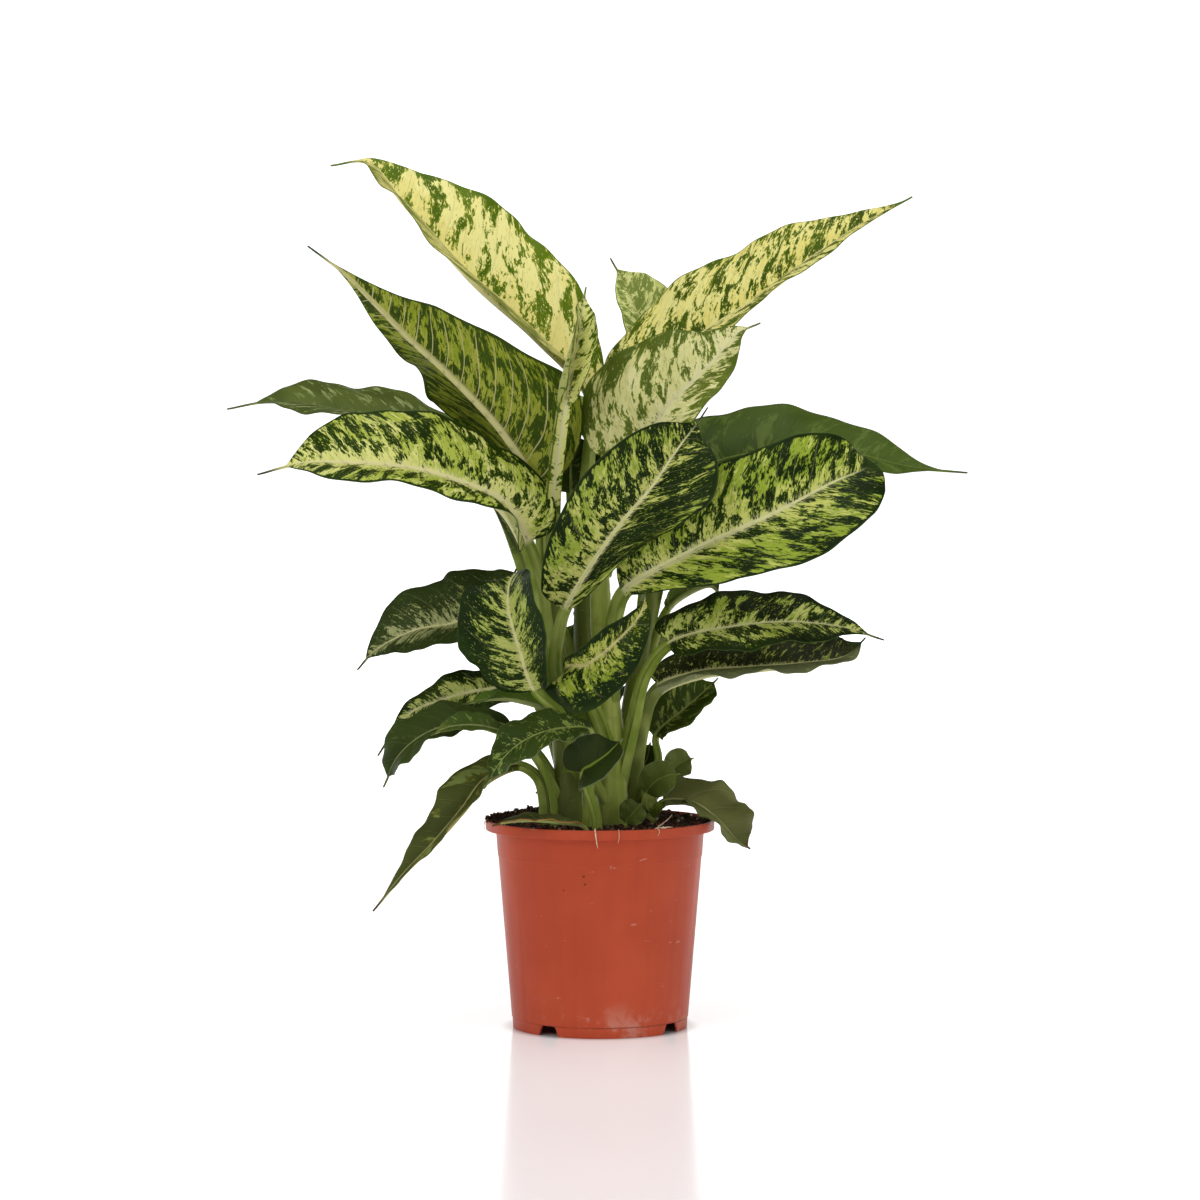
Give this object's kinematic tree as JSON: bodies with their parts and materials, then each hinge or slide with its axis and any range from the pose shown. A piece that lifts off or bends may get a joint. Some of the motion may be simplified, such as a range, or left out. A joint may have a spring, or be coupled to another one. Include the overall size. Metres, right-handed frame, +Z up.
{
  "type": "potted dieffenbachia",
  "caption": "Leafy dieffenbachia with broad cream-and-green mottled leaves on upright canes, growing in a tapered terracotta-coloured plastic nursery pot filled with dark soil.",
  "frame": {"origin": "centre of the pot's foot, on the plane that it stands on", "axes": "+Z up along the pot's axis, -Y towards the side that the picture shows, +X to that side's right"},
  "size_m": [0.6272, 0.3762, 0.7182],
  "materials": {
    "pot_plastic": "semi-gloss, scuffed",
    "soil": "rough, crumbly",
    "cane": "smooth, fleshy",
    "leaf_cream": "satin, cream with green mottling",
    "leaf_mottled": "satin, dark green with yellow-green mottling",
    "leaf_dark": "satin, dark green",
    "leaf_plain": "satin, mid green"
  },
  "bodies": {
    "root": {"pot": "pot_plastic", "soil": "soil", "cane_left": "cane", "cane_centre": "cane", "cane_rear_left": "cane", "cane_rear_right": "cane", "cane_small_right": "cane", "leaf_top_left": "leaf_cream", "leaf_top_right": "leaf_cream", "leaf_pale_centre": "leaf_cream", "leaf_spear": "leaf_cream", "leaf_small_top_back": "leaf_cream", "leaf_dark_centre": "leaf_mottled", "leaf_big_right": "leaf_mottled", "leaf_mid_left": "leaf_mottled", "leaf_torn_left": "leaf_mottled", "leaf_round_left": "leaf_mottled", "leaf_front_centre": "leaf_mottled", "leaf_lower_right": "leaf_mottled", "leaf_marbled_left": "leaf_mottled", "leaf_upper_left": "leaf_mottled", "leaf_dark_lower_right": "leaf_dark", "leaf_low_front": "leaf_dark", "leaf_round_front": "leaf_dark", "leaf_dark_low_left": "leaf_dark", "leaf_small_right": "leaf_dark", "leaf_long_droop": "leaf_dark", "leaf_tiny_front": "leaf_dark", "leaf_tiny_back": "leaf_dark", "leaf_tiny_right": "leaf_dark", "leaf_at_soil": "leaf_dark", "leaf_back_right": "leaf_plain", "leaf_back_left": "leaf_plain", "leaf_bright_tip": "leaf_plain", "leaf_light_small": "leaf_plain", "leaf_fading_rim": "leaf_plain", "leaf_tiny_left": "leaf_plain", "leaf_inner_high": "leaf_plain", "leaf_under_right": "leaf_plain", "leaf_inner_low": "leaf_plain", "leaf_droop_right": "leaf_plain", "leaf_rear_high": "leaf_plain", "leaf_rear_right": "leaf_plain", "leaf_rear_left": "leaf_plain", "leaf_rear_low_right": "leaf_plain", "leaf_rear_low": "leaf_plain"}
  },
  "joints": []
}
